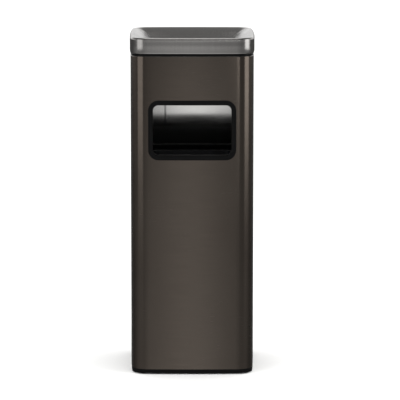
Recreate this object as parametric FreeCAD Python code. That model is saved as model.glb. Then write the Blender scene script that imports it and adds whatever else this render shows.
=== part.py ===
# Free-standing ashtray bin for lobbies and walkways: a square steel column with crowned faces
# and rounded corners, a litter window in the front, a lift-off funnel-shaped ashtray head with
# its own ash pan, and a plastic bucket with a wire bail standing inside.
# Millimetres. +Z is up, the front faces -Y and the origin is the centre of the footprint.
import FreeCAD, Part
import math
import os

os.makedirs("parts", exist_ok=True)

# Column section
body_half = 114.0         # half width across the crowned faces
face_radius = 1700.0      # crown of each face
body_corner = 27.9        # corner radius
sheet = 1.0               # steel sheet of the column and the head

# Heights
foot_height = 2.0
shell_bottom = 9.3
shell_top = 589.0
head_bottom = 593.2
overall_height = 622.5

# Litter window
window_height = 454.0     # centre of the window above the floor
window_size = (143.0, 92.0)
window_corner = 10.0
trim_bar = 8.8            # width of the trim's visible frame
trim_proud = 1.2
sleeve_wall = 2.0
sleeve_back = -100.0
cutout_clearance = 0.5
clip_sheet = 0.6
clip_width = 12.0
clip_foot = 7.0

# Ashtray head
head_overhang = 1.2
head_roll = 4.0           # rolled top edge
head_curl = 2.5           # curled lower edge
flange_inner = (91.0, 615.0)     # half width and height where the flange turns down
funnel_inner = (60.0, 595.0)     # foot of the funnel
funnel_corner = 6.0
pan_opening = 55.0
pan_depth = 33.0

# Bucket and its bail
bucket_half = 80.0
bucket_rim = 392.0
bucket_foot = 66.0
bucket_wall = 2.2
bail_pivot = 380.0
bail_reach = 90.5
bail_wire = 2.0
bail_arm = 92.0
bail_rest_angle = 24.0    # how far the resting bail hangs below level
grip_radius = 6.5
grip_length = 96.0
ear_plate = 1.5
ear_boss = 86.0
pin_clearance = 0.08

# Base
ring_inset = 0.4
plate_bottom = 6.0
plate_sheet = 1.2
foot_place = 82.0
foot_radius = 10.0
foot_screw = 2.0          # M4 shank radius
base_screw = 1.5          # M3 shank radius
screw_clearance = 0.15
foot_nut = (7.0, 3.2)     # across flats, height
base_nut = (5.5, 2.4)

up = FreeCAD.Vector(0, 0, 1)


def save(name, shapes):
    # One file per piece; identical fasteners share a file as separate solids.
    solids = [solid for shape in shapes for solid in shape.Solids]
    result = solids[0]
    if len(solids) > 1:
        result = Part.makeCompound(solids)
    result.exportStep("parts/" + name + ".step")


def spin(x, y, z, turn):
    angle = math.radians(90 * turn)
    across = x * math.cos(angle) - y * math.sin(angle)
    along = x * math.sin(angle) + y * math.cos(angle)
    return FreeCAD.Vector(across, along, z)


def side_edge(half, crown, lean, z, turn):
    # One side of a rounded square, crowned outwards by an arc of radius crown.
    ends = []
    for angle in (-lean, 0.0, lean):
        ends.append(spin(half - crown + crown * math.cos(angle), crown * math.sin(angle), z, turn))
    return Part.Arc(*ends).toShape()


def square_wire(half, corner, z, crown=None):
    # Rounded square: four sides and four corner arcs that meet tangentially.
    centre = half - corner
    lean = 0.0
    if crown:
        reach = crown - corner
        back = crown - half
        centre = (math.sqrt(2 * reach ** 2 - back ** 2) - back) / 2
        lean = math.asin(centre / reach)
    edges = []
    for turn in range(4):
        if crown:
            edges.append(side_edge(half, crown, lean, z, turn))
        else:
            edges.append(Part.makeLine(spin(half, -centre, z, turn), spin(half, centre, z, turn)))
        points = []
        for angle in (lean, math.pi / 4, math.pi / 2 - lean):
            x = centre + corner * math.cos(angle)
            y = centre + corner * math.sin(angle)
            points.append(spin(x, y, z, turn))
        edges.append(Part.Arc(*points).toShape())
    return Part.Wire(edges)


def body_station(offset, z):
    # A station of the column's own outline, moved in or out parallel to itself.
    return (body_half + offset, body_corner + offset, z, face_radius + offset)


def band(lower, upper):
    # The faces between two stations: a flat ring, a straight wall or a sloping wall.
    lower_wire = square_wire(*lower)
    upper_wire = square_wire(*upper)
    rise = upper[2] - lower[2]
    if rise == 0:
        outer, inner = lower_wire, upper_wire
        if upper[0] > lower[0]:
            outer, inner = upper_wire, lower_wire
        return Part.Face(outer).cut(Part.Face(inner)).Faces
    if lower[:2] == upper[:2]:
        return lower_wire.extrude(up * rise).Faces
    return Part.makeLoft([lower_wire, upper_wire], False, True).Faces


def wrap(stations, closed=True):
    # A solid wrapped round the centre line: a ring when closed, otherwise a cup whose
    # first and last stations are covered by flat faces.
    faces = []
    for lower, upper in zip(stations, stations[1:]):
        faces += band(lower, upper)
    if closed:
        faces += band(stations[-1], stations[0])
    else:
        faces.append(Part.Face(square_wire(*stations[0])))
        faces.append(Part.Face(square_wire(*stations[-1])))
    shell = Part.makeShell(faces)
    shell.sewShape()
    solid = Part.makeSolid(shell)
    if solid.Volume < 0:
        solid.reverse()
    return solid


def body_block(offset, low, high):
    face = Part.Face(square_wire(*body_station(offset, low)))
    return face.extrude(up * (high - low))


def window_block(grow, corner, front, back):
    # A rounded block through the front face, larger than the window by grow on each side.
    wide = window_size[0] / 2 + grow
    tall = window_size[1] / 2 + grow
    box = Part.makeBox(2 * wide, back - front, 2 * tall,
                       FreeCAD.Vector(-wide, front, window_height - tall))
    edges = [edge for edge in box.Edges if abs(edge.tangentAt(edge.FirstParameter).y) > 0.9]
    return box.makeFillet(corner, edges)


def pillar(radius, x, y, low, high):
    return Part.makeCylinder(radius, high - low, FreeCAD.Vector(x, y, low))


def turned(shape, turn):
    copy = shape.copy()
    copy.rotate(FreeCAD.Vector(0, 0, 0), up, 90 * turn)
    return copy


def nut(x, y, low, bore, size):
    flats, height = size
    points = []
    for step in range(7):
        angle = math.radians(60 * step)
        reach = flats / math.sqrt(3)
        points.append(FreeCAD.Vector(x + reach * math.cos(angle), y + reach * math.sin(angle), low))
    block = Part.Face(Part.makePolygon(points)).extrude(up * height)
    return block.cut(pillar(bore, x, y, low - 1, low + height + 1))


# Places shared by holes and the fasteners in them
base_screw_places = []
collar_screw_places = []
for turn in range(4):
    for along in (-50.0, 50.0):
        base_screw_places.append(spin(105.5, along, 0, turn))
        collar_screw_places.append(spin(108.3, along, 0, turn))
foot_places = [spin(foot_place, foot_place, 0, turn) for turn in range(4)]
guide_rivet_place = 77.0
foot_screw_hole = foot_screw + screw_clearance
base_screw_hole = base_screw + screw_clearance
collar_screw_radius = 1.5
rivet_radius = 1.6


def make_outer_shell():
    # Wrapped sheet with a lip turned in at each end and the window cut through its front.
    shell = wrap([
        body_station(0, shell_bottom),
        body_station(0, shell_top),
        body_station(-10, shell_top),
        body_station(-10, shell_top - sheet),
        body_station(-sheet, shell_top - sheet),
        body_station(-sheet, shell_bottom + sheet),
        body_station(-16, shell_bottom + sheet),
        body_station(-16, shell_bottom),
    ])
    grow = sleeve_wall + cutout_clearance
    shell = shell.cut(window_block(grow, window_corner + grow, -130, -60))
    for place in base_screw_places:
        shell = shell.cut(pillar(base_screw_hole, place.x, place.y, shell_bottom - 1, shell_bottom + 3))
    for place in collar_screw_places:
        shell = shell.cut(pillar(collar_screw_radius, place.x, place.y, shell_top - 3, shell_top + 1))
    save("outer_shell", [shell])


def make_seam_strip():
    # Backing strip spot-welded behind the vertical seam of the wrap, left of centre at the rear.
    strip_sheet = 0.8
    low, high = shell_bottom + sheet, shell_top - sheet
    skin = body_block(-sheet, low, high).cut(body_block(-sheet - strip_sheet, low - 1, high + 1))
    window = Part.makeBox(36, 40, high - low, FreeCAD.Vector(-85.4, 90, low))
    save("seam_strip", [skin.common(window)])


def make_window_trim():
    # Moulded frame: a thin flange that follows the crowned face and a sleeve through the cut-out.
    low, high = window_height - 80, window_height + 80
    skin = body_block(trim_proud, low, high).cut(body_block(0, low - 1, high + 1))
    flange = window_block(trim_bar, window_corner + 7, -130, -60).common(skin)
    sleeve = window_block(sleeve_wall, window_corner + sleeve_wall, -130, sleeve_back)
    sleeve = sleeve.common(body_block(trim_proud, low, high))
    trim = flange.fuse(sleeve).cut(window_block(0, window_corner, -140, -60))
    save("window_trim", [trim.removeSplitter()])


def clip_at(x, z, outward):
    # Folded spring clip: a leg along the sleeve and a foot that bears on the sheet behind it.
    # outward is the direction away from the window's centre, as (x, z).
    reach = max(abs(x) + clip_width / 2, abs(x) + abs(outward[0]) * clip_foot)
    face = -(body_half - sheet) + reach ** 2 / (2 * (face_radius - sheet)) + 0.04
    depth = -3.0 + sleeve_back - face
    sizes = []
    for foot, length in ((False, depth), (True, clip_sheet)):
        span = clip_foot if foot else clip_sheet
        wide = span if outward[0] else clip_width
        tall = span if outward[1] else clip_width
        low_x = x - wide / 2 + outward[0] * wide / 2
        low_z = z - tall / 2 + outward[1] * tall / 2
        sizes.append(Part.makeBox(wide, length, tall, FreeCAD.Vector(low_x, face, low_z)))
    return sizes[0].fuse(sizes[1]).removeSplitter()


def make_trim_clips():
    wide = window_size[0] / 2 + sleeve_wall
    tall = window_size[1] / 2 + sleeve_wall
    clips = []
    for side in (-1, 1):
        clips.append(clip_at(side * wide, window_height, (side, 0)))
        for x in (-40.0, 40.0):
            clips.append(clip_at(x, window_height + side * tall, (0, side)))
    save("trim_clips", clips)


def make_top_collar():
    # Black ring on the shell's top lip; it carries the head and its skirt centres it.
    collar = wrap([
        body_station(-1.4, shell_top),
        body_station(-1.4, head_bottom),
        body_station(-12.4, head_bottom),
        body_station(-12.4, shell_top - 14),
        body_station(-10.4, shell_top - 14),
        body_station(-10.4, shell_top),
    ])
    screws = []
    for place in collar_screw_places:
        shank = pillar(collar_screw_radius, place.x, place.y, shell_top - sheet, shell_top + 3.6)
        collar = collar.cut(shank)
        head = pillar(3.0, place.x, place.y, shell_top - sheet - 2.0, shell_top - sheet)
        screws.append(shank.fuse(head))
    save("top_collar", [collar])
    save("collar_screws", screws)


def arc_stations(offset, z, radius, first, last, steps):
    # Stations round a quarter turn about a centre that lies at offset from the outline.
    stations = []
    for step in range(steps + 1):
        angle = math.radians(first + (last - first) * step / steps)
        stations.append(body_station(offset + radius * math.cos(angle), z + radius * math.sin(angle)))
    return stations


def make_ashtray_head():
    # Pressed head: curled lower edge, upright band, rolled rim, gently falling flange, funnel
    # and the ledge that the ash pan hangs from.
    curl_centre = (head_overhang - head_curl, head_bottom + head_curl)
    roll_centre = (head_overhang - head_roll, overall_height - head_roll)
    flange_half, flange_height = flange_inner
    funnel_half, funnel_height = funnel_inner
    middle_half = (flange_half + body_half + roll_centre[0]) / 2
    middle_height = (flange_height + overall_height) / 2 + 0.9
    stations = [body_station(-7, head_bottom)]
    stations += arc_stations(*curl_centre, head_curl, -90, 0, 3)
    stations += arc_stations(*roll_centre, head_roll, 0, 90, 4)
    stations.append(body_station(middle_half - body_half, middle_height))
    stations.append(body_station(flange_half - body_half, flange_height))
    stations.append((funnel_half, funnel_corner, funnel_height))
    stations.append((pan_opening, funnel_corner, funnel_height))
    stations.append((pan_opening, funnel_corner, funnel_height - sheet))
    stations.append((funnel_half + 0.3, funnel_corner, funnel_height - sheet))
    stations.append(body_station(flange_half + 0.3 - body_half, flange_height - sheet))
    stations.append(body_station(middle_half + 0.2 - body_half, middle_height - sheet))
    stations += arc_stations(*roll_centre, head_roll - sheet, 90, 0, 4)
    stations += arc_stations(*curl_centre, head_curl - sheet, 0, -90, 3)
    stations.append(body_station(-7, head_bottom + sheet))
    save("ashtray_head", [wrap(stations)])


def make_head_locating_ring():
    # Folded ring welded inside the head's lower edge; it drops inside the collar's skirt.
    seat = head_bottom + sheet
    ring = wrap([
        body_station(-13.4, head_bottom - 16),
        body_station(-13.4, seat),
        body_station(-3.0, seat),
        body_station(-3.0, seat + sheet),
        body_station(-14.4, seat + sheet),
        body_station(-14.4, head_bottom - 16),
    ])
    save("head_locating_ring", [ring])


def make_ash_pan():
    # Drawn square pan that hangs by its flange on the funnel's ledge.
    seat = funnel_inner[1]
    floor = seat - pan_depth
    pan = wrap([
        (49.5, 4.0, floor),
        (51.5, 6.0, floor + 2.0),
        (53.5, 6.0, seat),
        (59.5, 6.0, seat),
        (59.5, 6.0, seat + sheet),
        (52.5, 5.0, seat + sheet),
        (50.5, 5.0, floor + 2.4),
        (49.0, 3.6, floor + sheet),
    ], closed=False)
    save("ash_pan", [pan])
    # Two folded tabs welded inside the pan's walls, to lift it by.
    tabs = []
    for turn in (0, 2):
        upright = Part.makeBox(1.0, 22, 12, FreeCAD.Vector(51.2, -11, seat - 3))
        top = Part.makeBox(6.0, 22, 1.0, FreeCAD.Vector(51.2, -11, seat + 9))
        tabs.append(turned(upright.fuse(top).removeSplitter(), turn))
    save("pan_lift_tabs", tabs)


def make_inner_bucket():
    # Tapered moulded bucket with a rim turned down outside its wall.
    shoulder = bucket_half - 3.7
    foot = plate_bottom + plate_sheet
    bucket = wrap([
        (bucket_foot - 2.0, 12.0, foot),
        (bucket_foot, 14.0, foot + 2.0),
        (shoulder, 16.0, bucket_rim - 2.0),
        (bucket_half - 2.0, 17.7, bucket_rim - 2.0),
        (bucket_half - 2.0, 17.7, bucket_rim - 10.0),
        (bucket_half, 19.7, bucket_rim - 10.0),
        (bucket_half, 19.7, bucket_rim - 1.0),
        (bucket_half - 1.0, 18.7, bucket_rim),
        (shoulder - 1.3, 14.7, bucket_rim),
        (shoulder - bucket_wall, 13.8, bucket_rim - 1.0),
        (bucket_foot - bucket_wall, 11.8, foot + 3.4),
        (bucket_foot - bucket_wall - 1.4, 10.4, foot + 2.4),
    ], closed=False)
    ears = []
    rivets = []
    along_x = FreeCAD.Vector(1, 0, 0)
    for turn in (0, 2):
        plate = Part.makeBox(ear_plate, 24, 20, FreeCAD.Vector(bucket_half, -12, bail_pivot - 9))
        boss_start = bucket_half + ear_plate
        pivot = FreeCAD.Vector(boss_start, 0, bail_pivot)
        boss = Part.makeCylinder(6.0, ear_boss - boss_start, pivot, along_x)
        bore = Part.makeCylinder(bail_wire + pin_clearance, ear_boss - boss_start + 1, pivot, along_x)
        ear = plate.fuse(boss).cut(bore)
        for side in (-9.0, 9.0):
            start = FreeCAD.Vector(bucket_half - 2.0, side, bucket_rim - 5.5)
            shank = Part.makeCylinder(rivet_radius, boss_start - start.x, start, along_x)
            bucket = bucket.cut(turned(shank, turn))
            ear = ear.cut(shank)
            tail = Part.makeCylinder(2.6, 1.0, start - along_x, along_x)
            head = Part.makeCylinder(2.6, 1.2, start + along_x * (boss_start - start.x), along_x)
            rivets.append(turned(shank.fuse([tail, head]), turn))
        ears.append(turned(ear, turn))
    save("inner_bucket", [bucket])
    save("bucket_ears", ears)
    save("ear_rivets", rivets)


def bail_point(x, reach):
    # A point of the bail's plane, in its resting position against the bucket's front.
    angle = math.radians(bail_rest_angle)
    return FreeCAD.Vector(x, -reach * math.cos(angle), bail_pivot - reach * math.sin(angle))


def bail_bend(centre_x, centre_reach, radius, first, last):
    points = []
    for degrees in (first, (first + last) / 2, last):
        angle = math.radians(degrees)
        points.append(bail_point(centre_x + radius * math.cos(angle),
                                 centre_reach + radius * math.sin(angle)))
    return Part.Arc(*points).toShape()


def make_bail():
    # Wire bail: a pin in each ear, an arm down each side of the bucket and a crossbar.
    inner, outer = 5.0, 12.0
    pin_end = bucket_half + ear_plate + 1.0
    pin_turn = bail_arm - inner
    bar_turn = bail_arm - outer
    edges = [
        Part.makeLine(bail_point(pin_end, 0), bail_point(pin_turn, 0)),
        bail_bend(pin_turn, inner, inner, -90, 0),
        Part.makeLine(bail_point(bail_arm, inner), bail_point(bail_arm, bail_reach - outer)),
        bail_bend(bar_turn, bail_reach - outer, outer, 0, 90),
        Part.makeLine(bail_point(bar_turn, bail_reach), bail_point(-bar_turn, bail_reach)),
        bail_bend(-bar_turn, bail_reach - outer, outer, 90, 180),
        Part.makeLine(bail_point(-bail_arm, bail_reach - outer), bail_point(-bail_arm, inner)),
        bail_bend(-pin_turn, inner, inner, 180, 270),
        Part.makeLine(bail_point(-pin_turn, 0), bail_point(-pin_end, 0)),
    ]
    circle = Part.makeCircle(bail_wire, bail_point(pin_end, 0), FreeCAD.Vector(1, 0, 0))
    wire = Part.Wire(edges).makePipeShell([Part.Wire(circle)], True, True)
    save("bail_handle", [wire])
    start = bail_point(-grip_length / 2, bail_reach)
    along_x = FreeCAD.Vector(1, 0, 0)
    grip = Part.makeCylinder(grip_radius, grip_length, start, along_x)
    grip = grip.makeFillet(1.5, [edge for edge in grip.Edges if edge.Closed])
    grip = grip.cut(Part.makeCylinder(bail_wire, grip_length, start, along_x))
    save("handle_grip", [grip])


def make_base():
    # Moulded ring under the shell, with a ledge for the floor plate and pads for the feet.
    pad = 84.0
    pad_corner = 40.0
    ring = wrap([
        body_station(-ring_inset, foot_height),
        body_station(-ring_inset, shell_bottom),
        body_station(-16.5, shell_bottom),
        body_station(-16.5, shell_bottom + 3.7),
        body_station(-18.5, shell_bottom + 3.7),
        body_station(-18.5, plate_bottom),
        (pad, pad_corner, plate_bottom),
        (pad, pad_corner, foot_height),
    ])
    plate_top = plate_bottom + plate_sheet
    plate = body_block(-19.0, plate_bottom, plate_top)
    base_screws = []
    base_nuts = []
    for place in base_screw_places:
        ring = ring.cut(pillar(3.4, place.x, place.y, foot_height - 1, foot_height + 3))
        ring = ring.cut(pillar(base_screw_hole, place.x, place.y, foot_height, shell_bottom + 1))
        head = pillar(2.8, place.x, place.y, foot_height + 0.8, foot_height + 3)
        shank = pillar(base_screw, place.x, place.y, foot_height + 3, shell_bottom + 5)
        base_screws.append(head.fuse(shank))
        base_nuts.append(nut(place.x, place.y, shell_bottom + sheet, base_screw, base_nut))
    feet = []
    foot_screws = []
    foot_nuts = []
    for place in foot_places:
        ring = ring.cut(pillar(foot_radius + 0.3, place.x, place.y, foot_height - 1, foot_height + 2))
        ring = ring.cut(pillar(foot_screw_hole, place.x, place.y, foot_height, plate_bottom + 1))
        plate = plate.cut(pillar(foot_screw_hole, place.x, place.y, plate_bottom - 1, plate_top + 1))
        foot = pillar(foot_radius, place.x, place.y, 0, foot_height + 2)
        foot = foot.cut(pillar(4.4, place.x, place.y, -1, 2.2))
        feet.append(foot.cut(pillar(foot_screw, place.x, place.y, 0, foot_height + 3)))
        head = pillar(3.8, place.x, place.y, 0.5, 2.2)
        foot_screws.append(head.fuse(pillar(foot_screw, place.x, place.y, 2.2, plate_top + 4)))
        foot_nuts.append(nut(place.x, place.y, plate_top, foot_screw, foot_nut))
    for turn in range(4):
        place = spin(guide_rivet_place, 0, 0, turn)
        plate = plate.cut(pillar(rivet_radius, place.x, place.y, plate_bottom - 1, plate_top + 1))
    save("base_ring", [ring])
    save("base_plate", [plate])
    save("base_screws", base_screws)
    save("base_nuts", base_nuts)
    save("rubber_feet", feet)
    save("foot_screws", foot_screws)
    save("foot_nuts", foot_nuts)


def make_bucket_guides():
    # Four folded angles riveted to the floor plate keep the bucket centred.
    plate_top = plate_bottom + plate_sheet
    guide_face = 67.2
    guides = []
    rivets = []
    for turn in range(4):
        upright = Part.makeBox(plate_sheet, 26, 18, FreeCAD.Vector(guide_face, -13, plate_top))
        leg = Part.makeBox(16, 26, plate_sheet, FreeCAD.Vector(guide_face, -13, plate_top))
        low, high = plate_bottom, plate_top + plate_sheet
        shank = pillar(rivet_radius, guide_rivet_place, 0, low, high)
        guides.append(turned(upright.fuse(leg).cut(shank).removeSplitter(), turn))
        head = pillar(3.0, guide_rivet_place, 0, high, high + 1.2)
        tail = pillar(2.6, guide_rivet_place, 0, low - 1.0, low)
        rivets.append(turned(shank.fuse([head, tail]), turn))
    save("bucket_guides", guides)
    save("guide_rivets", rivets)


make_outer_shell()
make_seam_strip()
make_window_trim()
make_trim_clips()
make_top_collar()
make_ashtray_head()
make_head_locating_ring()
make_ash_pan()
make_inner_bucket()
make_bail()
make_base()
make_bucket_guides()
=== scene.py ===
import bpy
import bmesh
import math
from functools import partial
from mathutils import Matrix, Vector


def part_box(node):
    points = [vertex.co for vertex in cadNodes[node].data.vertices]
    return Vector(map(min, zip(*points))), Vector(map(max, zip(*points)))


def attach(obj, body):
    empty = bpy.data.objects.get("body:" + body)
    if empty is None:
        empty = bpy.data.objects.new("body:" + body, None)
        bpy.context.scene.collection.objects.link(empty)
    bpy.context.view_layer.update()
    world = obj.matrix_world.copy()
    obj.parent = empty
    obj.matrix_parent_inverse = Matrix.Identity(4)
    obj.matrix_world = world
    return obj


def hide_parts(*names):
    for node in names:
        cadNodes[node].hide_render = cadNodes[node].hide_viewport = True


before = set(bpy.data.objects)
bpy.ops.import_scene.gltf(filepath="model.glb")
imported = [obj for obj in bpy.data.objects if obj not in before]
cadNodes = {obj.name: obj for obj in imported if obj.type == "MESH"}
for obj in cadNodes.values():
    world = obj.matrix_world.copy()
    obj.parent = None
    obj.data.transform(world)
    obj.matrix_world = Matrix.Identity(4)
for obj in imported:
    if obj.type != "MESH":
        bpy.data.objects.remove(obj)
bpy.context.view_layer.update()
print("frame:", len(cadNodes), "nodes")

mm = 0.001

# The column's section, shared by every piece that follows its outline
column = {
    "half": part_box("outer_shell")[1].x / mm,
    "corner": 27.9,
    "crown": 1700.0,        # radius of the gently bowed faces
    "sheet": 1.0,
    "bottom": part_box("outer_shell")[0].z / mm,
    "top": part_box("outer_shell")[1].z / mm,
    "sideSteps": 30,
    "cornerSteps": 14,
    "seamTurn": math.atan2(1, -0.6),    # direction of the rear seam
}


def outlineNumbers(half, corner, crown):
    # where the corner arcs are centred, and how far the bowed faces turn before they begin
    reach, back = crown - corner, crown - half
    centre = (math.sqrt(2 * reach ** 2 - back ** 2) - back) / 2
    return centre, math.asin(centre / reach)


def squareLoop(half, corner, height, crown=None):
    # points round a rounded square, anticlockwise from above, sides bowed when crown is given
    centre, lean = half - corner, 0.0
    if crown:
        centre, lean = outlineNumbers(half, corner, crown)
    quarter = []
    for step in range(column["sideSteps"]):
        along = 2 * step / column["sideSteps"] - 1
        if crown:
            angle = lean * along
            quarter.append((half - crown + crown * math.cos(angle), crown * math.sin(angle)))
        else:
            quarter.append((half, centre * along))
    for step in range(column["cornerSteps"]):
        angle = lean + (math.pi / 2 - 2 * lean) * step / column["cornerSteps"]
        quarter.append((centre + corner * math.cos(angle), centre + corner * math.sin(angle)))
    points = []
    for turn in range(4):
        quarterTurn = Matrix.Rotation(math.radians(90 * turn), 3, "Z")
        points += [quarterTurn @ Vector((x, y, height)) * mm for x, y in quarter]
    return points


def bodyPoint(offset, height, radius=0.0):
    # a section point on a parallel of the column's outline
    half, corner, crown = column["half"], column["corner"], column["crown"]
    return (half + offset, corner + offset, height, radius, crown + offset)


def boxPoint(half, corner, height, radius=0.0):
    # a section point on a rounded square with straight sides
    return (half, corner, height, radius, None)


arcSteps = 5
sideShare = 0.49        # an arc takes at most this share of the sides it joins


def roundProfile(points, closed=True):
    # each section point's radius becomes an arc
    rounded = []
    count = len(points)
    for index, (half, corner, height, radius, crown) in enumerate(points):
        atEnd = not closed and index in (0, count - 1)
        if radius == 0 or atEnd:
            rounded.append((half, corner, height, crown))
            continue
        here = Vector((half, height))
        before = Vector((points[index - 1][0], points[index - 1][2])) - here
        after = Vector((points[(index + 1) % count][0], points[(index + 1) % count][2])) - here
        opening = before.angle(after)
        reach = min(radius / math.tan(opening / 2), sideShare * before.length, sideShare * after.length)
        radius = reach * math.tan(opening / 2)
        middle = (before.normalized() + after.normalized()).normalized()
        centre = here + middle * radius / math.sin(opening / 2)
        start = here + before.normalized() * reach - centre
        end = here + after.normalized() * reach - centre
        sweep = math.atan2(start.x * end.y - start.y * end.x, start.dot(end))
        for step in range(arcSteps + 1):
            point = centre + Matrix.Rotation(sweep * step / arcSteps, 2) @ start
            grown = point.x - half
            rounded.append((point.x, corner + grown, point.y, crown + grown if crown else None))
    return rounded


def fixNormals(mesh):
    shape = bmesh.new()
    shape.from_mesh(mesh)
    bmesh.ops.recalc_face_normals(shape, faces=shape.faces)
    shape.to_mesh(mesh)
    shape.free()
    return mesh


def loopMesh(loops, capped=False):
    # quads between loops of equal length, joined end to end in a ring, or with capped ends
    mesh = bpy.data.meshes.new("loops")
    size = len(loops[0])
    vertices = [point for loop in loops for point in loop]
    faces = []
    for row in range(len(loops) - capped):
        lower, upper = row * size, ((row + 1) % len(loops)) * size
        for index in range(size):
            following = (index + 1) % size
            faces.append((lower + index, lower + following, upper + following, upper + index))
    if capped:
        faces.append(tuple(reversed(range(size))))
        last = (len(loops) - 1) * size
        faces.append(tuple(range(last, last + size)))
    mesh.from_pydata(vertices, [], faces)
    return fixNormals(mesh)


def wrapMesh(points, closed=True):
    # a ring, or a cup when it isn't closed, wrapped round the centre line
    loops = [squareLoop(*station) for station in roundProfile(points, closed)]
    return loopMesh(loops, capped=not closed)


def wrapUv(mesh):
    # unrolls a wrapped piece in metres: u runs round it from the rear seam, v up and outwards
    layer = mesh.uv_layers.new(name="wrap")
    seam, spread = column["seamTurn"], column["half"] * mm
    for face in mesh.polygons:
        middle = (math.atan2(face.center.y, face.center.x) - seam) % math.tau
        for corner in face.loop_indices:
            point = mesh.vertices[mesh.loops[corner].vertex_index].co
            angle = (math.atan2(point.y, point.x) - seam) % math.tau
            angle += math.tau * round((middle - angle) / math.tau)
            layer.data[corner].uv = (spread * angle, point.z + max(abs(point.x), abs(point.y)))
    return mesh


def looseObject(name, data):
    loose = bpy.data.objects.new(name, data)
    bpy.context.scene.collection.objects.link(loose)
    return loose


def addPiece(name, mesh, materials, body, node, sharp=32):
    # puts a finished mesh in the scene in place of a node: smooth, with sharp edges past an angle
    mesh.name = name
    mesh.materials.clear()
    for material in materials:
        mesh.materials.append(material)
    mesh.shade_smooth()
    mesh.set_sharp_from_angle(angle=math.radians(sharp))
    piece = looseObject(name, mesh)
    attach(piece, body)
    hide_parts(node)


def latheMesh(profile, segments=24):
    # a solid of revolution from (radius, height) points
    loops = []
    for radius, height in profile:
        loop = []
        for step in range(segments):
            angle = math.tau * step / segments
            loop.append(Vector((radius * math.cos(angle), radius * math.sin(angle), height)) * mm)
        loops.append(loop)
    return loopMesh(loops, capped=True)


def tubeMesh(profile, segments):
    # a ring of revolution with a hole, from a closed run of (radius, height) points
    loops = []
    for step in range(segments):
        turn = Matrix.Rotation(math.tau * step / segments, 3, "Z")
        loops.append([turn @ Vector((radius, 0, height)) * mm for radius, height in profile])
    return loopMesh(loops)


def blockMesh(low, high):
    # a plain box between two corners in millimetres
    (left, front, bottom), (right, rear, top) = low, high
    corners = ((left, front), (right, front), (right, rear), (left, rear))
    loops = [[Vector((x, y, height)) * mm for x, y in corners] for height in (bottom, top)]
    return loopMesh(loops, capped=True)


def evaluated(source):
    # the mesh of an object with its modifiers applied; the source is then removed
    bpy.context.view_layer.update()
    ready = source.evaluated_get(bpy.context.evaluated_depsgraph_get())
    mesh = bpy.data.meshes.new_from_object(ready)
    bpy.data.objects.remove(source)
    return mesh


def cutMesh(mesh, cutters):
    # boolean difference with separate cutter meshes
    joined = bpy.data.meshes.new("cutter")
    shape = bmesh.new()
    for cutter in cutters:
        shape.from_mesh(cutter)
    shape.to_mesh(joined)
    shape.free()
    source = looseObject("source", mesh)
    tool = looseObject("cutter", joined)
    modifier = source.modifiers.new("cut", "BOOLEAN")
    modifier.object = tool
    modifier.solver = "EXACT"
    result = evaluated(source)
    bpy.data.objects.remove(tool)
    return result


easing = {"weld": 0.01, "flat": 1.5, "edge": 40, "segments": 2}        # angles in degrees


def softenedCopy(node, width):
    # a merged copy of a CAD node with its sharp edges rounded over
    mesh = cadNodes[node].data.copy()
    mesh.materials.clear()
    shape = bmesh.new()
    shape.from_mesh(mesh)
    bmesh.ops.remove_doubles(shape, verts=shape.verts, dist=easing["weld"] * mm)
    bmesh.ops.dissolve_limit(shape, angle_limit=math.radians(easing["flat"]), verts=shape.verts,
                             edges=shape.edges)
    shape.to_mesh(mesh)
    shape.free()
    source = looseObject("source", mesh)
    bevel = source.modifiers.new("soften", "BEVEL")
    bevel.width = width * mm
    bevel.segments = easing["segments"]
    bevel.limit_method = "ANGLE"
    bevel.angle_limit = math.radians(easing["edge"])
    bevel.use_clamp_overlap = True
    return evaluated(source)


window = {
    "wide": 143.0,          # clear opening
    "tall": 92.0,
    "corner": 10.0,
    "height": (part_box("window_trim")[0].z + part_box("window_trim")[1].z) / 2 / mm,
    "bar": 8.8,             # visible frame width
    "proud": 1.2,
    "wall": 2.0,            # sleeve
    "back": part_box("window_trim")[1].y / mm,
    "sideSteps": 16,
    "cornerSteps": 10,
}


def faceDepth(x, proud=0.0):
    # y of the column's bowed front, proud millimetres in front of it
    crown = column["crown"] + proud
    return column["crown"] - column["half"] - math.sqrt(crown ** 2 - x ** 2)


def windowLoop(grow, proud=None, depth=None):
    # points round the window opening, grown outwards, on the bowed face or at a fixed depth
    sideSteps, cornerSteps = window["sideSteps"], window["cornerSteps"]
    corner = window["corner"] + grow
    across = window["wide"] / 2 + grow - corner
    upward = window["tall"] / 2 + grow - corner
    centres = [(across, upward), (-across, upward), (-across, -upward), (across, -upward)]
    points = []
    for quarter, (x, z) in enumerate(centres):
        fromX, fromZ = centres[quarter - 1]
        for step in range(sideSteps + cornerSteps):
            share = min(step / sideSteps, 1.0)
            angle = math.radians(90) * (quarter + max(step - sideSteps, 0) / cornerSteps)
            px = fromX + (x - fromX) * share + corner * math.cos(angle)
            pz = fromZ + (z - fromZ) * share + corner * math.sin(angle)
            py = depth if depth is not None else faceDepth(px, proud)
            points.append(Vector((px, py, pz + window["height"])) * mm)
    return points


def linear(hexColour):
    # sRGB hex to a linear colour
    channels = []
    for value in bytes.fromhex(hexColour[1:]):
        value /= 255
        channels.append(value / 12.92 if value <= 0.04045 else ((value + 0.055) / 1.055) ** 2.4)
    return (*channels, 1.0)


def addNode(tree, kind, settings=None, links=None):
    # adds a node; settings name properties or input sockets, links map inputs to (node, output)
    node = tree.nodes.new(kind)
    for name, value in (settings or {}).items():
        if isinstance(name, int) or name in node.inputs:
            node.inputs[name].default_value = value
        else:
            setattr(node, name, value)
    for name, (source, output) in (links or {}).items():
        tree.links.new(source.outputs[output], node.inputs[name])
    return node


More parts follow.
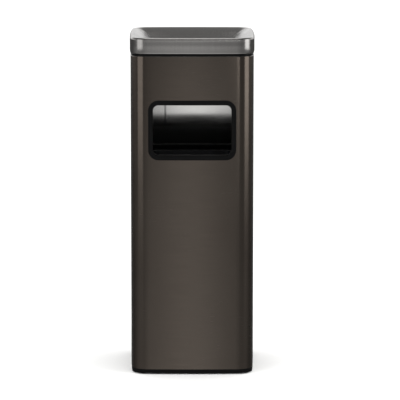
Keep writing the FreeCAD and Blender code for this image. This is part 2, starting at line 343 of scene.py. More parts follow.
def makeFinish(name, fixed, layers):
    # a surface: fixed shader values, then a pattern for each thing the eye picks up on it
    material = bpy.data.materials.new(name)
    material.use_nodes = True
    tree = material.node_tree
    add = partial(addNode, tree)
    surface = tree.nodes["Principled BSDF"]
    for socket, value in fixed.items():
        surface.inputs[socket].default_value = linear(value) if isinstance(value, str) else value
    coords = add("ShaderNodeTexCoord")
    colour = rough = relief = None
    for layer in layers:
        scale = [1 / (step * mm) for step in layer["spacing"]]
        mapping = add("ShaderNodeMapping", {"Scale": scale},
                      {"Vector": (coords, layer.get("on", "Object"))})
        pattern = add(layer.get("kind", "ShaderNodeTexNoise"),
                      {"Scale": 1.0, "Detail": layer.get("detail", 0.0)}, {"Vector": (mapping, 0)})
        low, high = layer.get("between", (0.3, 0.7))
        share = add("ShaderNodeMapRange", {"From Min": low, "From Max": high}, {"Value": (pattern, 0)})
        if "heights" in layer:      # fades in between two heights
            place = add("ShaderNodeSeparateXYZ", {}, {"Vector": (coords, "Object")})
            bottom, top = layer["heights"]
            fade = add("ShaderNodeMapRange", {"From Min": bottom * mm, "From Max": top * mm},
                       {"Value": (place, "Z")})
            share = add("ShaderNodeMath", {"operation": "MULTIPLY"}, {0: (share, 0), 1: (fade, 0)})
        if "colour" in layer:
            hexColour, amount = layer["colour"]
            part = add("ShaderNodeMath", {"operation": "MULTIPLY", 1: amount}, {0: (share, 0)})
            settings, links = {"data_type": "RGBA", 7: linear(hexColour)}, {0: (part, 0)}
            if colour:
                links[6] = (colour, 2)
            else:
                settings[6] = linear(fixed["Base Color"])
            colour = add("ShaderNodeMix", settings, links)
        if "rough" in layer:
            settings, links = {"operation": "MULTIPLY_ADD", 1: layer["rough"]}, {0: (share, 0)}
            if rough:
                links[2] = (rough, 0)
            else:
                settings[2] = fixed["Roughness"]
            rough = add("ShaderNodeMath", settings, links)
        if "relief" in layer:
            links = {"Height": (share, 0)}
            if relief:
                links["Normal"] = (relief, 0)
            relief = add("ShaderNodeBump", {"Distance": layer["relief"] * mm}, links)
    for node, output, socket in ((colour, 2, "Base Color"), (rough, 0, "Roughness"), (relief, 0, "Normal")):
        if node:
            tree.links.new(node.outputs[output], surface.inputs[socket])
    return material


# Stainless sheet, hairline brushed round the column, then coated dark bronze by vapour deposition:
# a dark warm metal whose lights are narrow across and long up and down
bronzeSheet = makeFinish("bronzeHairlineSteel", {
    "Base Color": "#605851", "Metallic": 1.0, "Roughness": 0.17,
    "Anisotropic": 0.8, "Anisotropic Rotation": 0.25,
}, [
    # hairlines are about 0.1 mm apart; drawn near 1 mm so that they show
    {"on": "UV", "spacing": (60, 1.1, 1), "detail": 3.0, "colour": ("#524b45", 0.5),
     "rough": 0.05},
    {"on": "UV", "spacing": (16, 0.6, 1), "detail": 1.0, "rough": 0.04},
    # broad unevenness of the coating, and hand marks
    {"spacing": (110, 110, 160), "detail": 3.0, "colour": ("#645d56", 0.4), "rough": 0.03},
])

# Bright annealed inner face of the same sheet: a pale mirror with a faint haze
brightSheet = makeFinish("brightAnnealedSteel", {
    "Base Color": "#dcdbd8", "Metallic": 1.0, "Roughness": 0.07,
}, [
    {"spacing": (70, 70, 45), "detail": 4.0, "colour": ("#c9c8c6", 0.5), "rough": 0.03},
    {"spacing": (1.5, 1.5, 60), "detail": 2.0, "rough": 0.02},
])

# Brushed stainless of the lift-off head: grey satin, lines run up the band and down the funnel, so
# that lights spread round it
brushedSheet = makeFinish("brushedStainlessSteel", {
    "Base Color": "#9c9a98", "Metallic": 1.0, "Roughness": 0.15,
    "Anisotropic": 0.8, "Anisotropic Rotation": 0.0,
}, [
    {"on": "UV", "spacing": (1.0, 50, 1), "detail": 3.0, "colour": ("#8e8c8a", 0.4),
     "rough": 0.03},
    {"spacing": (60, 60, 40), "detail": 3.0, "colour": ("#a4a29f", 0.4), "rough": 0.02},
])

# Deep drawn stainless pan: satin, with a grey film and specks of ash on its floor
panSteel = makeFinish("drawnPanSteel", {
    "Base Color": "#a9a7a3", "Metallic": 1.0, "Roughness": 0.28,
}, [
    {"spacing": (2.0, 2.0, 30), "detail": 2.0, "rough": 0.06, "relief": 0.002},
    {"spacing": (35, 35, 25), "detail": 4.0, "colour": ("#6f6b65", 0.55), "rough": 0.25,
     "heights": (596, 563)},
    {"spacing": (3.0, 3.0, 3.0), "detail": 3.0, "between": (0.6, 0.72),
     "colour": ("#3b3834", 0.8), "rough": 0.3, "heights": (575, 564)},
])

# Hot-dip galvanised sheet: flat grey with flakes of zinc crystal
galvanisedSheet = makeFinish("galvanisedSpangleSheet", {
    "Base Color": "#8f9294", "Metallic": 1.0, "Roughness": 0.34,
}, [
    {"kind": "ShaderNodeTexVoronoi", "spacing": (7, 7, 7), "between": (0.1, 0.75),
     "colour": ("#b3b6b8", 0.7), "rough": 0.12, "relief": 0.004},
    {"spacing": (30, 30, 30), "detail": 3.0, "colour": ("#7c7f80", 0.5), "rough": 0.08},
])

# Blued spring steel of the trim clips: dark, faintly blue, oiled
springSteel = makeFinish("bluedSpringSteel", {
    "Base Color": "#3f434a", "Metallic": 1.0, "Roughness": 0.3,
}, [
    {"spacing": (6, 6, 6), "detail": 3.0, "colour": ("#57514a", 0.5), "rough": 0.12},
])

# Bright zinc plate on screws, nuts, rivets and the bail wire: pale, slightly blue, lightly clouded
zincPlate = makeFinish("brightZincPlate", {
    "Base Color": "#b9bab8", "Metallic": 1.0, "Roughness": 0.22,
}, [
    {"spacing": (4, 4, 4), "detail": 4.0, "colour": ("#a2a39b", 0.6), "rough": 0.15},
    {"spacing": (0.8, 0.8, 12), "detail": 1.0, "rough": 0.05, "relief": 0.004},
])

# Injection moulded ABS of trim, collar and base ring: near black, fine sparked grain, soft sheen
mouldedAbs = makeFinish("mouldedBlackAbs", {
    "Base Color": "#070707", "Roughness": 0.38, "IOR": 1.54, "Specular IOR Level": 0.09,
}, [
    # the grain is 0.15 mm; drawn at 0.9 mm so that it shows
    {"spacing": (0.9, 0.9, 0.9), "detail": 2.0, "rough": 0.08, "relief": 0.01},
    {"spacing": (40, 40, 40), "detail": 3.0, "colour": ("#0b0b0c", 0.6), "rough": 0.05},
])

# Moulded polypropylene bucket: black, with a painted bluish sheen in its colour (a blue tint and lighter
# blue clouds), rubbed upright where it slides
bucketPolypropylene = makeFinish("blackPolypropylene", {
    "Base Color": "#0f1216", "Roughness": 0.36, "IOR": 1.49, "Specular IOR Level": 0.35,
}, [
    # lighter blue clouds: painted sheen
    {"spacing": (50, 50, 80), "detail": 3.0, "colour": ("#161a20", 0.7), "rough": 0.08},
    {"spacing": (1.6, 1.6, 70), "detail": 2.0, "between": (0.56, 0.7),
     "colour": ("#24282d", 0.5), "rough": 0.12, "relief": 0.01},
])

# Moulded nylon grip: matt charcoal
gripNylon = makeFinish("mouldedNylonGrip", {
    "Base Color": "#1e1e20", "Roughness": 0.5, "IOR": 1.53,
}, [
    {"spacing": (1.0, 1.0, 1.0), "detail": 2.0, "rough": 0.1, "relief": 0.012},
    {"spacing": (18, 18, 18), "detail": 3.0, "colour": ("#2a2a2c", 0.5)},
])

# Moulded rubber feet: dull black, dusty towards the floor
footRubber = makeFinish("mouldedFootRubber", {
    "Base Color": "#141414", "Roughness": 0.72, "IOR": 1.52,
}, [
    {"spacing": (5, 5, 5), "detail": 4.0, "colour": ("#4a4742", 0.5), "rough": 0.1,
     "heights": (4, 0)},
    {"spacing": (0.9, 0.9, 0.9), "detail": 2.0, "relief": 0.02},
])

# Powdery white floor, matt, with barely seen clouds
floorPaint = makeFinish("mattFloorPaint", {
    "Base Color": "#fbfbfa", "Roughness": 0.9, "Specular IOR Level": 0.1,
}, [
    {"spacing": (900, 900, 900), "detail": 2.0, "colour": ("#f6f6f5", 0.5)},
])
print("finishes:", len(bpy.data.materials))


def runTree(tree, values):
    # runs a geometry tree once with its named inputs and keeps the plain mesh
    holder = looseObject("holder", bpy.data.meshes.new("empty"))
    modifier = holder.modifiers.new(tree.name, "NODES")
    modifier.node_group = tree
    for item in tree.interface.items_tree:
        if item.in_out == "INPUT":
            modifier[item.identifier] = values[item.name]
    return evaluated(holder)


def newTree(name, inputs):
    tree = bpy.data.node_groups.new(name, "GeometryNodeTree")
    for label, kind in inputs.items():
        tree.interface.new_socket(name=label, in_out="INPUT", socket_type="NodeSocket" + kind)
    tree.interface.new_socket(name="Geometry", in_out="OUTPUT", socket_type="NodeSocketGeometry")
    return tree, partial(addNode, tree), addNode(tree, "NodeGroupInput")


def endTree(tree, add, given, last):
    real = add("GeometryNodeRealizeInstances", {}, {"Geometry": (last, 0)})
    painted = add("GeometryNodeSetMaterial", {}, {"Geometry": (real, 0), "Material": (given, "Finish")})
    add("NodeGroupOutput", {}, {"Geometry": (painted, 0)})
    return tree


def columnTree():
    # sweeps a closed section round the column's bowed square outline
    tree, add, given = newTree("columnSection", {
        "Section": "Object", "Half Width": "Float", "Crown Radius": "Float", "Corner Radius": "Float",
        "Corner Centre": "Float", "Face Lean": "Float", "Side Steps": "Int", "Corner Steps": "Int",
        "Finish": "Material",
    })
    back = add("ShaderNodeMath", {"operation": "SUBTRACT"},
               {0: (given, "Half Width"), 1: (given, "Crown Radius")})
    faceStart = add("ShaderNodeMath", {"operation": "MULTIPLY", 1: -1.0}, {0: (given, "Face Lean")})
    faceSweep = add("ShaderNodeMath", {"operation": "MULTIPLY", 1: 2.0}, {0: (given, "Face Lean")})
    cornerSweep = add("ShaderNodeMath", {"operation": "SUBTRACT", 0: math.pi / 2}, {1: (faceSweep, 0)})
    facePlace = add("ShaderNodeCombineXYZ", {}, {"X": (back, 0)})
    cornerPlace = add("ShaderNodeCombineXYZ", {},
                      {"X": (given, "Corner Centre"), "Y": (given, "Corner Centre")})
    quarter = add("GeometryNodeJoinGeometry")
    arcs = (("Crown Radius", (faceStart, 0), (faceSweep, 0), facePlace, "Side Steps"),
            ("Corner Radius", (given, "Face Lean"), (cornerSweep, 0), cornerPlace, "Corner Steps"))
    for radius, start, sweep, place, steps in arcs:
        arc = add("GeometryNodeCurveArc", {"mode": "RADIUS"},
                  {"Radius": (given, radius), "Start Angle": start, "Sweep Angle": sweep,
                   "Resolution": (given, steps)})
        put = add("GeometryNodeTransform", {}, {"Geometry": (arc, 0), "Translation": (place, 0)})
        tree.links.new(put.outputs[0], quarter.inputs[0])
    corners = add("GeometryNodePoints", {"Count": 4})
    index = add("GeometryNodeInputIndex")
    angle = add("ShaderNodeMath", {"operation": "MULTIPLY", 1: math.pi / 2}, {0: (index, 0)})
    turn = add("ShaderNodeCombineXYZ", {}, {"Z": (angle, 0)})
    outline = add("GeometryNodeInstanceOnPoints", {},
                  {"Points": (corners, 0), "Instance": (quarter, 0), "Rotation": (turn, 0)})
    path = add("GeometryNodeRealizeInstances", {}, {"Geometry": (outline, 0)})
    upright = add("GeometryNodeSetCurveNormal", {"mode": "Z_UP"}, {"Curve": (path, 0)})
    section = add("GeometryNodeObjectInfo", {}, {"Object": (given, "Section")})
    profile = add("GeometryNodeMeshToCurve", {}, {"Mesh": (section, "Geometry")})
    swept = add("GeometryNodeCurveToMesh", {}, {"Curve": (upright, 0), "Profile Curve": (profile, 0)})
    welded = add("GeometryNodeMergeByDistance", {"Distance": 0.002 * mm}, {"Geometry": (swept, 0)})
    return endTree(tree, add, given, welded)


def fastenerTree():
    # rows of one fastener, repeated round the sides of the column
    tree, add, given = newTree("fastenersRoundColumn", {
        "Piece": "Object", "Sides": "Int", "Per Side": "Int", "Reach": "Float", "Along": "Float",
        "Height": "Float", "Turn Spread": "Float", "Seed": "Int", "Finish": "Material",
    })
    first = add("ShaderNodeCombineXYZ", {},
                {"X": (given, "Reach"), "Y": (given, "Along"), "Z": (given, "Height")})
    gap = add("ShaderNodeMath", {"operation": "MULTIPLY", 1: -2.0}, {0: (given, "Along")})
    step = add("ShaderNodeCombineXYZ", {}, {"Y": (gap, 0)})
    row = add("GeometryNodeMeshLine", {},
              {"Count": (given, "Per Side"), "Start Location": (first, 0), "Offset": (step, 0)})
    piece = add("GeometryNodeObjectInfo", {}, {"Object": (given, "Piece")})
    chance = add("FunctionNodeRandomValue", {"data_type": "FLOAT"},
                 {3: (given, "Turn Spread"), "Seed": (given, "Seed")})
    spin = add("ShaderNodeCombineXYZ", {}, {"Z": (chance, 1)})
    side = add("GeometryNodeInstanceOnPoints", {},
               {"Points": (row, 0), "Instance": (piece, "Geometry"), "Rotation": (spin, 0)})
    sides = add("GeometryNodePoints", {}, {"Count": (given, "Sides")})
    index = add("GeometryNodeInputIndex")
    share = add("ShaderNodeMath", {"operation": "DIVIDE", 0: math.tau}, {1: (given, "Sides")})
    angle = add("ShaderNodeMath", {"operation": "MULTIPLY"}, {0: (index, 0), 1: (share, 0)})
    turn = add("ShaderNodeCombineXYZ", {}, {"Z": (angle, 0)})
    ring = add("GeometryNodeInstanceOnPoints", {},
               {"Points": (sides, 0), "Instance": (side, 0), "Rotation": (turn, 0)})
    return endTree(tree, add, given, ring)


columnSection = columnTree()
fastenersRound = fastenerTree()


def columnRing(points, finish):
    # a closed section, as (offset, height, radius) points, swept round the column by the tree
    rounded = roundProfile([bodyPoint(*point) for point in points])
    section = bpy.data.meshes.new("section")
    count = len(rounded)
    flat = [((half - column["half"]) * mm, -height * mm, 0) for half, corner, height, crown in rounded]
    section.from_pydata(flat, [(step, (step + 1) % count) for step in range(count)], [])
    holder = looseObject("section", section)
    centre, lean = outlineNumbers(column["half"], column["corner"], column["crown"])
    mesh = runTree(columnSection, {
        "Section": holder, "Half Width": column["half"] * mm, "Crown Radius": column["crown"] * mm,
        "Corner Radius": column["corner"] * mm, "Corner Centre": centre * mm, "Face Lean": lean,
        "Side Steps": column["sideSteps"] + 1, "Corner Steps": column["cornerSteps"] + 1, "Finish": finish,
    })
    bpy.data.objects.remove(holder)
    return fixNormals(mesh)


def placeFasteners(piece, finish, sides, perSide, reach, along, height, turnSpread=math.tau):
    holder = looseObject("piece", piece)
    mesh = runTree(fastenersRound, {
        "Piece": holder, "Sides": sides, "Per Side": perSide, "Reach": reach * mm, "Along": along * mm,
        "Height": height * mm, "Turn Spread": turnSpread, "Seed": 7, "Finish": finish,
    })
    bpy.data.objects.remove(holder)
    return mesh


print("trees ready")

# Column: one sheet wrapped round, lips folded in top and bottom, butt seam at the rear
shellSizes = {
    "topLip": 10.0,
    "bottomLip": 16.0,
    "bend": 0.8,            # outside radius of the folds
    "edge": 0.25,
    "seamX": -67.4,
    "seamGap": 0.4,
    "seamDepths": (112.05, 116.0),      # what the seam's cut passes through
    "cutGap": 0.5,          # round the trim's sleeve
    "cutDepths": (-130.0, -60.0),
    "baseScrews": (105.5, 50.0),        # distance out from the centre, and along the side
    "baseHole": 1.65,
    "collarScrews": (108.3, 50.0),
    "collarHole": 1.5,
}


def fourSides(reach, along):
    # the eight places of a pair of fasteners on each side
    for turn in range(4):
        for offset in (along, -along):
            place = Matrix.Rotation(math.radians(90 * turn), 3, "Z") @ Vector((reach, offset, 0))
            yield place.x, place.y


def pillars(places, radius, low, high, segments=24):
    # upright rods that cut holes
    rods = []
    for x, y in places:
        rod = latheMesh([(radius, low), (radius, high)], segments)
        rod.transform(Matrix.Translation(Vector((x, y, 0)) * mm))
        rods.append(rod)
    return rods


def makeShell():
    s = shellSizes
    low, high, sheet = column["bottom"], column["top"], column["sheet"]
    mesh = columnRing([
        (0, low, s["bend"]), (0, high, s["bend"]),
        (-s["topLip"], high, s["edge"]), (-s["topLip"], high - sheet, s["edge"]),
        (-sheet, high - sheet, s["edge"]), (-sheet, low + sheet, s["edge"]),
        (-s["bottomLip"], low + sheet, s["edge"]), (-s["bottomLip"], low, s["edge"]),
    ], bronzeSheet)
    grow = window["wall"] + s["cutGap"]
    opening = loopMesh([windowLoop(grow, depth=depth) for depth in s["cutDepths"]], capped=True)
    left, right = s["seamX"] - s["seamGap"] / 2, s["seamX"] + s["seamGap"] / 2
    inside, outside = s["seamDepths"]
    seam = blockMesh((left, inside, low - 1), (right, outside, high + 1))
    cutters = [opening, seam]
    cutters += pillars(fourSides(*s["baseScrews"]), s["baseHole"], low - 1, low + 2)
    cutters += pillars(fourSides(*s["collarScrews"]), s["collarHole"], high - 2, high + 1)
    mesh = wrapUv(cutMesh(mesh, cutters))
    addPiece("columnShell", mesh, [bronzeSheet, brightSheet], "housing", "outer_shell")
    for face in mesh.polygons:      # brushed and coated outside, bright inside
        normal, centre = face.normal, face.center
        outward = normal.x * centre.x + normal.y * centre.y
        coated = outward > -0.02 * mm * abs(normal.z) - 1e-6 and normal.z < 0.7
        face.material_index = 0 if coated else 1


makeShell()
print("column shell ready")


# Window trim: moulded frame with a rolled inner lip, its sleeve running back through the sheet
trimSizes = {"lip": 1.3, "edge": 0.8, "backEdge": 0.6, "clear": 0.02, "arcSteps": 6}


def makeTrim():
    s = trimSizes
    proud, bar, wall, steps = window["proud"], window["bar"], window["wall"], s["arcSteps"]
    lip, edge = s["lip"], s["edge"]
    turns = [math.pi / 2 * step / steps for step in range(steps + 1)]
    section = []
    for turn in turns:                  # rolled lip into the opening
        section.append((lip * (1 - math.cos(turn)), proud - lip * (1 - math.sin(turn)), None))
    for turn in reversed(turns):        # outer edge
        section.append((bar - edge * (1 - math.cos(turn)), proud - edge * (1 - math.sin(turn)), None))
    section += [(bar, s["clear"], None), (wall, s["clear"], None)]
    for share in (1.0, 0.5, 0.0):       # rounded back edge of the sleeve
        depth = window["back"] - (s["backEdge"] if share != 0.5 else 0.0)
        section.append((wall * share, None, depth))
    loops = [windowLoop(grow, proudBy, depth) for grow, proudBy, depth in section]
    mesh = loopMesh(loops)
    addPiece("windowTrim", mesh, [mouldedAbs], "housing", "window_trim")


makeTrim()


# Seam strip: a thin flat lapped behind the rear seam, following the bowed wall, its edges eased.
# Its ends stand proud by the pinch, a hair, so that it shades like the wall beside it.
stripSizes = {
    "left": -85.4, "right": -49.4, "sheet": 0.8, "edge": 0.25, "bevel": 1.6, "ease": 0.3,
    "pinch": 0.04, "steps": 12,
}


def stripLoop(height, proud):
    # the strip's section, its open face raised by proud millimetres
    left, right, bevel, steps = (stripSizes[key] for key in ("left", "right", "bevel", "steps"))
    face = stripSizes["sheet"] + proud
    shoulder = face - stripSizes["ease"]
    places = [(left + (right - left) * step / steps, 0.0) for step in range(steps + 1)]
    places.append((right, shoulder))
    for step in range(steps + 1):
        places.append((right - bevel - (right - left - 2 * bevel) * step / steps, face))
    places.append((left, shoulder))
    return [Vector((x, -faceDepth(x, -column["sheet"] - depth), height)) * mm for x, depth in places]


def makeSeamStrip():
    low, high = (corner.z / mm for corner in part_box("seam_strip"))
    edge, pinch = stripSizes["edge"], stripSizes["pinch"]
    stations = ((low, pinch), (low + edge, 0.0), (high - edge, 0.0), (high, pinch))
    loops = [stripLoop(height, proud) for height, proud in stations]
    mesh = wrapUv(loopMesh(loops, capped=True))
    addPiece("seamStrip", mesh, [brightSheet], "housing", "seam_strip")


makeSeamStrip()

# Small folded parts keep the CAD's shape, with their edges eased by the last figure
softened = {
    "trim_clips": ("trimClips", springSteel, "spring_steel", "housing", 0.15),
    "base_plate": ("basePlate", galvanisedSheet, "galvanised_steel", "housing", 0.2),
    "bucket_guides": ("bucketGuides", galvanisedSheet, "galvanised_steel", "housing", 0.35),
    "pan_lift_tabs": ("panLiftTabs", panSteel, "pan_steel", "pan", 0.3),
    "bucket_ears": ("bucketEars", galvanisedSheet, "galvanised_steel", "bucket", 0.4),
}
for node, (name, finish, slotName, body, ease) in softened.items():
    addPiece(name, wrapUv(softenedCopy(node, ease)), [finish], body, node)
print("trim and folded parts ready")


# Collar between column and head
collarSizes = {"face": -1.4, "inside": -12.4, "ledge": -10.4, "hole": 1.5, "holeDepth": 3.6}


def makeCollar():
    low, high = column["top"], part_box("top_collar")[1].z / mm
    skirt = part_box("top_collar")[0].z / mm
    face, inside, ledge = collarSizes["face"], collarSizes["inside"], collarSizes["ledge"]
    mesh = columnRing([
        (face, low, 0.5), (face, high, 0.5), (inside, high, 0.8),
        (inside, skirt, 0.6), (ledge, skirt, 0.6), (ledge, low, 0.3),
    ], mouldedAbs)
    screws = fourSides(*shellSizes["collarScrews"])
    holes = pillars(screws, collarSizes["hole"], low - 1, low + collarSizes["holeDepth"])
    mesh = wrapUv(cutMesh(mesh, holes))
    addPiece("topCollar", mesh, [mouldedAbs], "housing", "top_collar")


# Ring under the column: carries the floor plate, with recesses below for screws and feet
baseSizes = {
    "inset": 0.4, "floor": 2.0, "plate": 6.0, "ledge": 13.0, "wall": (-16.5, -18.5), "pad": (84.0, 40.0),
    "screwHead": 3.4, "screwHole": 1.65, "foot": 82.0, "footRecess": 10.3, "footHole": 2.15,
}


def makeBaseRing():
    s, low = baseSizes, column["bottom"]
    padHalf, padCorner = s["pad"]
    outer, inner = s["wall"]
    mesh = wrapMesh([
        bodyPoint(-s["inset"], s["floor"], 1.0), bodyPoint(-s["inset"], low, 0.3),
        bodyPoint(outer, low, 0.3), bodyPoint(outer, s["ledge"], 0.4),
        bodyPoint(inner, s["ledge"], 0.4), bodyPoint(inner, s["plate"], 0.2),
        boxPoint(padHalf, padCorner, s["plate"], 0.3), boxPoint(padHalf, padCorner, s["floor"], 0.8),
    ])
    screws = list(fourSides(*shellSizes["baseScrews"]))
    feet = list(fourSides(s["foot"], s["foot"]))[::2]       # one at each corner
    recesses = pillars(screws, s["screwHead"], s["floor"] - 1, 5.0)
    recesses += pillars(feet, s["footRecess"], s["floor"] - 1, 4.0, 40)
    holes = pillars(screws, s["screwHole"], 3.0, low + 1) + pillars(feet, s["footHole"], 3.0, 7.0)
    mesh = wrapUv(cutMesh(cutMesh(mesh, recesses), holes))
    addPiece("baseRing", mesh, [mouldedAbs], "housing", "base_ring")


makeCollar()
makeBaseRing()
print("mouldings ready")


# Head: one pressing, band curled under at its foot and rolled over at its top into a square funnel
headSizes = {
    "bottom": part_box("ashtray_head")[0].z / mm, "top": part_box("ashtray_head")[1].z / mm,
    "overhang": 1.2, "lip": -7.0, "curl": 2.5, "roll": 4.0, "rollTurn": 98, "rollSteps": 10, "sheet": 1.0,
    "crest": (100.0, 619.4), "turn": (91.0, 615.0), "turnBend": 1.2, "crestSteps": 12,
    "foot": (60.0, 595.0), "corner": 6.0, "opening": 55.0,
}
ringSizes = {"wall": -13.4, "flange": -3.0, "drop": 16.0}


def rollPoints(radius):
    # the rolled edge, from the band over to the top
    s = headSizes
    arc = []
    for step in range(s["rollSteps"] + 1):
        angle = math.radians(s["rollTurn"] * step / s["rollSteps"])
        across, up = radius * math.cos(angle), radius * math.sin(angle)
        arc.append(bodyPoint(s["overhang"] - s["roll"] + across, s["top"] - s["roll"] + up))
    return arc


def crestPoints(drop):
    # the soft slope from the rolled edge to where the funnel turns down
    s, body = headSizes, column["half"]
    start = Vector((body + s["overhang"] - s["roll"], s["top"]))
    bend, end = Vector(s["crest"]), Vector(s["turn"])
    points = []
    for step in range(2, s["crestSteps"]):
        t = step / s["crestSteps"]
        point = (1 - t) ** 2 * start + 2 * t * (1 - t) * bend + t ** 2 * end
        points.append(bodyPoint(point.x - body, point.y + drop))
    return points + [bodyPoint(end.x - body, end.y + drop, s["turnBend"])]


def makeHead():
    s = headSizes
    footHalf, foot = s["foot"]
    out, bottom, lip, curl, sheet = (s[key] for key in ("overhang", "bottom", "lip", "curl", "sheet"))
    points = [bodyPoint(lip, bottom, 0.3), bodyPoint(out, bottom, curl)]
    points += rollPoints(s["roll"]) + crestPoints(0.0)
    points += [
        boxPoint(footHalf, s["corner"], foot, 2.0), boxPoint(s["opening"], s["corner"], foot, 0.4),
        boxPoint(s["opening"], s["corner"], foot - sheet, 0.4),
        boxPoint(footHalf + 0.3, s["corner"], foot - sheet, 2.8),
    ]
    points += reversed(rollPoints(s["roll"] - sheet) + crestPoints(-sheet))
    points += [bodyPoint(out - sheet, bottom + sheet, curl - sheet), bodyPoint(lip, bottom + sheet, 0.3)]
    mesh = wrapUv(wrapMesh(points))
    addPiece("ashtrayHead", mesh, [brushedSheet], "head", "ashtray_head", sharp=50)


def makeLocatingRing():
    sheet = headSizes["sheet"]
    foot, seat = headSizes["bottom"] - ringSizes["drop"], headSizes["bottom"] + sheet
    wall, flange = ringSizes["wall"], ringSizes["flange"]
    mesh = wrapUv(wrapMesh([
        bodyPoint(wall, foot, 0.3), bodyPoint(wall, seat, 0.8), bodyPoint(flange, seat, 0.3),
        bodyPoint(flange, seat + sheet, 0.3), bodyPoint(wall - sheet, seat + sheet, 1.6),
        bodyPoint(wall - sheet, foot, 0.3),
    ]))
    addPiece("locatingRing", mesh, [brightSheet], "head", "head_locating_ring")


# Ash pan: drawn cup that hangs by its flange in the funnel's foot; its sections are (half, corner)
panSizes = {
    "depth": 33.0, "sheet": 1.0, "middle": (20.0, 3.0), "floor": (49.5, 4.0), "heel": (51.5, 6.0),
    "mouth": (53.5, 6.0), "flange": (59.5, 6.0), "inFloor": (49.0, 3.6), "inHeel": (50.5, 5.0),
    "inMouth": (52.5, 5.0),
}


def makePan():
    s, seat = panSizes, headSizes["foot"][1]
    floor, sheet = seat - s["depth"], s["sheet"]
    points = [
        (*s["middle"], floor), (*s["floor"], floor, 2.0),
        (*s["heel"], floor + 2.0, 2.0), (*s["mouth"], seat, 0.6),
        (*s["flange"], seat, 0.3), (*s["flange"], seat + sheet, 0.3),
        (*s["inMouth"], seat + sheet, 1.4), (*s["inHeel"], floor + 2.4, 1.4),
        (*s["inFloor"], floor + sheet, 1.4), (*s["middle"], floor + sheet),
    ]
    mesh = wrapUv(wrapMesh([boxPoint(*point) for point in points], closed=False))
    addPiece("ashPan", mesh, [panSteel], "pan", "ash_pan", sharp=50)


makeHead()
makeLocatingRing()
makePan()
print("head and pan ready")


# Inner bucket, moulded with a turned-down rim
bucketSizes = {
    "half": 80.0, "rim": 392.0, "skirt": 10.0, "shoulder": 76.3, "foot": 66.0, "floor": 7.2, "wall": 2.2,
    "base": 2.4, "lap": 2.0, "middle": (24.0, 4.0), "footCorner": 14.0, "rimCorner": 19.7,
}


def makeBucket():
    s = bucketSizes
    rim, shoulder, foot, floor = (s[key] for key in ("rim", "shoulder", "foot", "floor"))
    half, lap, corner, heel = s["half"], s["lap"], s["rimCorner"], s["footCorner"]
    skirt, base = rim - s["skirt"], floor + s["base"]
    points = [
        (*s["middle"], floor), (foot - lap, heel - 2, floor, 1.4),
        (foot, heel, floor + lap, 1.4), (shoulder, 16.0, rim - lap, 0.8),
        (half - lap, corner - lap, rim - lap, 0.4), (half - lap, corner - lap, skirt, 0.5),
        (half, corner, skirt, 0.5), (half, corner, rim, 1.4),
        (shoulder - s["wall"], 13.8, rim, 1.4), (foot - s["wall"], 11.8, base + 1, 1.6),
        (foot - s["wall"] - 1.4, 10.4, base, 1.6), (*s["middle"], base),
    ]
    mesh = wrapUv(wrapMesh([boxPoint(*point) for point in points], closed=False))
    addPiece("innerBucket", mesh, [bucketPolypropylene], "bucket", "inner_bucket", sharp=50)


# Bail: round wire from ear to ear, hanging below level by the rest angle
bailSizes = {
    "pivot": 380.0, "reach": 90.5, "wire": 2.0, "arm": 92.0, "pinEnd": 82.5, "rest": 24.0,
    "pinBend": 5.0, "barBend": 12.0, "bendSteps": 10, "sides": 16,
}


def bailPath():
    # centre line of the wire in its own flat plane, as (x, reach), from ear to ear
    s = bailSizes
    points = [(s["pinEnd"], 0.0)]
    bends = ((s["arm"] - s["pinBend"], s["pinBend"], s["pinBend"], -90),
             (s["arm"] - s["barBend"], s["reach"] - s["barBend"], s["barBend"], 0))
    for x, reach, radius, start in bends:
        for step in range(s["bendSteps"] + 1):
            angle = math.radians(start + 90 * step / s["bendSteps"])
            points.append((x + radius * math.cos(angle), reach + radius * math.sin(angle)))
    return points + [(-x, reach) for x, reach in reversed(points)]


def bailFrame():
    # the pivot line's middle, and the way the resting bail reaches from it
    rest = math.radians(bailSizes["rest"])
    return Vector((0, 0, bailSizes["pivot"])), Vector((0, -math.cos(rest), -math.sin(rest)))


def makeBail():
    s = bailSizes
    pivot, away = bailFrame()
    across = Vector((1, 0, 0)).cross(away)
    path = [pivot + Vector((x, 0, 0)) + away * reach for x, reach in bailPath()]
    loops = []
    for index, point in enumerate(path):
        ahead = path[min(index + 1, len(path) - 1)] - path[max(index - 1, 0)]
        side = across.cross(ahead.normalized())
        ring = []
        for step in range(s["sides"]):
            angle = math.tau * step / s["sides"]
            ring.append((point + s["wire"] * (math.cos(angle) * side + math.sin(angle) * across)) * mm)
        loops.append(ring)
    mesh = loopMesh(loops, capped=True)
    addPiece("bailWire", mesh, [zincPlate], "bail", "bail_handle")


# Grip: a moulded sleeve on the bail's bar, with shallow ribs round it
gripSizes = {
    "radius": 6.5, "length": 96.0, "bore": bailSizes["wire"] + 0.02, "plainEnd": 7.0, "ribs": 22,
    "groove": 0.45,
    # share of the pitch, share of the groove's depth
    "rib": ((0.0, 0.0), (0.15, 0.7), (0.3, 1.0), (0.5, 1.0), (0.65, 0.7), (0.8, 0.0)),
    # eased end: how far in, how far along
    "end": ((1.5, 0.0), (0.4, 0.45), (0.0, 1.6)),
}


def makeGrip():
    s = gripSizes
    half, outer = s["length"] / 2, s["radius"]
    pitch = (s["length"] - 2 * s["plainEnd"]) / s["ribs"]
    profile = [(s["bore"], -half)] + [(outer - sunk, -half + along) for sunk, along in s["end"]]
    for rib in range(s["ribs"]):
        start = -half + s["plainEnd"] + rib * pitch
        profile += [(outer - sunk * s["groove"], start + share * pitch) for share, sunk in s["rib"]]
    profile += [(outer - sunk, half - along) for sunk, along in reversed(s["end"])] + [(s["bore"], half)]
    mesh = tubeMesh(profile, 40)
    pivot, away = bailFrame()
    mesh.transform(Matrix.Rotation(math.pi / 2, 4, "Y"))
    mesh.transform(Matrix.Translation((pivot + away * bailSizes["reach"]) * mm))
    addPiece("gripSleeve", mesh, [gripNylon], "bail", "handle_grip")


